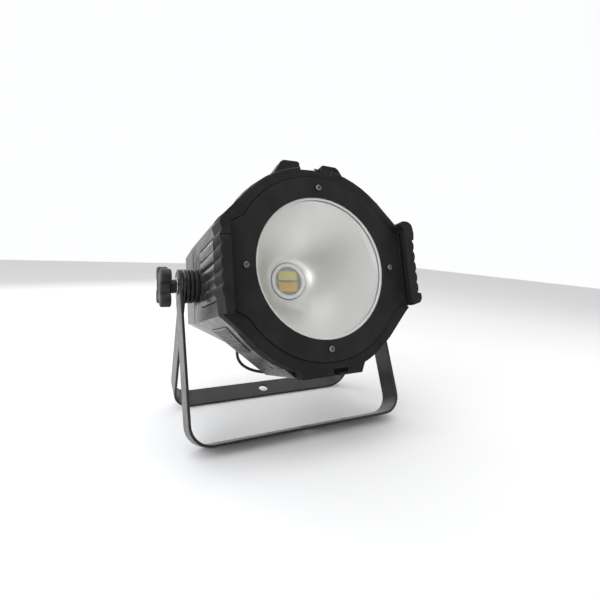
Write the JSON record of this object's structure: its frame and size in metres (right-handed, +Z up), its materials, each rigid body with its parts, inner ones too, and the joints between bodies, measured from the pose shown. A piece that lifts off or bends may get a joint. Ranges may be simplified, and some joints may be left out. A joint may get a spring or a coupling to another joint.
{
  "type": "par can light",
  "caption": "LED par can light with reflector, glass, fan-cooled housing, accessory holders and a double yoke that folds out as a floor stand.",
  "frame": {"origin": "centre of the bounding box on the floor", "axes": "+Z up, the light faces -Y and is tilted up, +X to its right seen from the front"},
  "size_m": [0.3146, 0.2208, 0.3164],
  "materials": {
    "arm_spacer_left": "nylon washer",
    "arm_spacer_right": "nylon washer",
    "bezel_plate": "matt black powder coat",
    "bezel_screw_bottom": "dark plated pan-head screw",
    "bezel_screw_left": "dark plated pan-head screw",
    "bezel_screw_right": "dark plated pan-head screw",
    "bezel_screw_top": "dark plated pan-head screw",
    "chassis_plate": "zinc plated sheet",
    "clamp_washer_left": "zinc plated",
    "clamp_washer_right": "zinc plated",
    "control_board": "green circuit board",
    "display_window": "dark display window",
    "driver_board_left": "green circuit board",
    "driver_board_right": "green circuit board",
    "emitter_board": "metal-core board",
    "emitter_cool": "cool white emitter gel",
    "emitter_ring": "white retaining ring",
    "emitter_warm": "warm white emitter gel",
    "fan_frame": "black plastic",
    "fan_rotor": "black plastic",
    "front_bracket": "satin black paint on steel strap",
    "front_glass": "clear tempered glass",
    "front_ring": "charcoal moulded plastic, fine grain",
    "fuse_cap": "black plastic",
    "grille_lower_left": "satin black paint",
    "grille_lower_right": "satin black paint",
    "grille_upper_left": "satin black paint",
    "grille_upper_right": "satin black paint",
    "heat_sink": "extruded, plain",
    "housing_shell": "satin black paint",
    "key_down": "grey key",
    "key_enter": "grey key",
    "key_menu": "grey key",
    "key_up": "grey key",
    "knob_left": "black knob",
    "knob_right": "black knob",
    "latch_pin_left": "zinc plated",
    "latch_pin_right": "zinc plated",
    "lens_gasket": "white silicone",
    "pivot_disc_left": "friction disc",
    "pivot_disc_right": "friction disc",
    "pivot_nut_left": "zinc plated",
    "pivot_nut_right": "zinc plated",
    "power_in": "blue power inlet",
    "power_out": "grey power outlet",
    "rear_bracket": "satin black paint on steel strap",
    "rear_cover": "satin black paint",
    "rear_panel": "matt black",
    "reflector": "satin anodised bowl",
    "safety_hoop": "black steel wire",
    "side_panel_left": "satin black paint",
    "side_panel_right": "satin black paint",
    "signal_in": "black data socket",
    "signal_out": "black data socket",
    "stud_left": "zinc plated",
    "stud_right": "zinc plated",
    "top_latch": "satin black pressed steel"
  },
  "bodies": {
    "rear_bracket": {"rear_bracket": "rear_bracket", "arm_spacer_left": "arm_spacer_left", "arm_spacer_right": "arm_spacer_right"},
    "head": {"bezel_plate": "bezel_plate", "bezel_screw_bottom": "bezel_screw_bottom", "bezel_screw_left": "bezel_screw_left", "bezel_screw_right": "bezel_screw_right", "bezel_screw_top": "bezel_screw_top", "chassis_plate": "chassis_plate", "control_board": "control_board", "display_window": "display_window", "driver_board_left": "driver_board_left", "driver_board_right": "driver_board_right", "emitter_board": "emitter_board", "emitter_cool": "emitter_cool", "emitter_ring": "emitter_ring", "emitter_warm": "emitter_warm", "fan_frame": "fan_frame", "front_glass": "front_glass", "front_ring": "front_ring", "grille_lower_left": "grille_lower_left", "grille_lower_right": "grille_lower_right", "grille_upper_left": "grille_upper_left", "grille_upper_right": "grille_upper_right", "heat_sink": "heat_sink", "housing_shell": "housing_shell", "latch_pin_left": "latch_pin_left", "latch_pin_right": "latch_pin_right", "lens_gasket": "lens_gasket", "pivot_disc_left": "pivot_disc_left", "pivot_disc_right": "pivot_disc_right", "pivot_nut_left": "pivot_nut_left", "pivot_nut_right": "pivot_nut_right", "power_in": "power_in", "power_out": "power_out", "rear_cover": "rear_cover", "rear_panel": "rear_panel", "reflector": "reflector", "safety_hoop": "safety_hoop", "side_panel_left": "side_panel_left", "side_panel_right": "side_panel_right", "signal_in": "signal_in", "signal_out": "signal_out"},
    "front_bracket": {"front_bracket": "front_bracket"},
    "fan_rotor": {"fan_rotor": "fan_rotor"},
    "fuse_cap": {"fuse_cap": "fuse_cap"},
    "top_latch": {"top_latch": "top_latch"},
    "key_menu": {"key_menu": "key_menu"},
    "key_down": {"key_down": "key_down"},
    "key_up": {"key_up": "key_up"},
    "key_enter": {"key_enter": "key_enter"},
    "clamp_washer_left": {"clamp_washer_left": "clamp_washer_left"},
    "knob_left": {"knob_left": "knob_left", "stud_left": "stud_left"},
    "clamp_washer_right": {"clamp_washer_right": "clamp_washer_right"},
    "knob_right": {"knob_right": "knob_right", "stud_right": "stud_right"}
  },
  "joints": [
    {"name": "head_tilt", "type": "hinge", "parent": "rear_bracket", "child": "head", "pos_m": [0, 0.0206, 0.16863], "axis": [1, 0, 0], "range_deg": [-105, 105]},
    {"name": "front_bracket_fold", "type": "hinge", "parent": "rear_bracket", "child": "front_bracket", "pos_m": [0, 0.0206, 0.16863], "axis": [1, 0, 0], "range_deg": [-60, 45]},
    {"name": "clamp_slide_left", "type": "slide", "parent": "head", "child": "clamp_washer_left", "axis": [-1, 0, 0], "range_m": [0, 0.00185]},
    {"name": "knob_turn_left", "type": "hinge", "parent": "clamp_washer_left", "child": "knob_left", "pos_m": [0, 0.0206, 0.16863], "axis": [-1, 0, 0], "range_deg": [0, 518.4]},
    {"name": "clamp_slide_right", "type": "slide", "parent": "head", "child": "clamp_washer_right", "axis": [1, 0, 0], "range_m": [0, 0.00185]},
    {"name": "knob_turn_right", "type": "hinge", "parent": "clamp_washer_right", "child": "knob_right", "pos_m": [0, 0.0206, 0.16863], "axis": [1, 0, 0], "range_deg": [0, 518.4]},
    {"name": "key_menu_press", "type": "slide", "parent": "head", "child": "key_menu", "axis": [0, -0.9627, 0.2706], "range_m": [0, 0.001], "stiffness_N_per_m": 400, "springref_m": -0.0003},
    {"name": "key_down_press", "type": "slide", "parent": "head", "child": "key_down", "axis": [0, -0.9627, 0.2706], "range_m": [0, 0.001], "stiffness_N_per_m": 400, "springref_m": -0.0003},
    {"name": "key_up_press", "type": "slide", "parent": "head", "child": "key_up", "axis": [0, -0.9627, 0.2706], "range_m": [0, 0.001], "stiffness_N_per_m": 400, "springref_m": -0.0003},
    {"name": "key_enter_press", "type": "slide", "parent": "head", "child": "key_enter", "axis": [0, -0.9627, 0.2706], "range_m": [0, 0.001], "stiffness_N_per_m": 400, "springref_m": -0.0003},
    {"name": "fan_spin", "type": "hinge", "parent": "head", "child": "fan_rotor", "pos_m": [0, 0.08481, 0.18383], "axis": [0, 0.9627, -0.2706], "continuous": true},
    {"name": "fuse_cap_turn", "type": "hinge", "parent": "head", "child": "fuse_cap", "pos_m": [0, 0.06976, 0.10703], "axis": [0, 0.9627, -0.2706], "range_deg": [-30, 0]},
    {"name": "latch_swing", "type": "hinge", "parent": "head", "child": "top_latch", "pos_m": [0, -0.02661, 0.30925], "axis": [1, 0, 0], "range_deg": [0, 178]}
  ],
  "couplings": [
    {"joint": "clamp_slide_left", "follows": "knob_turn_left", "m_per_rad": 0.00019894},
    {"joint": "clamp_slide_right", "follows": "knob_turn_right", "m_per_rad": 0.00019894}
  ]
}
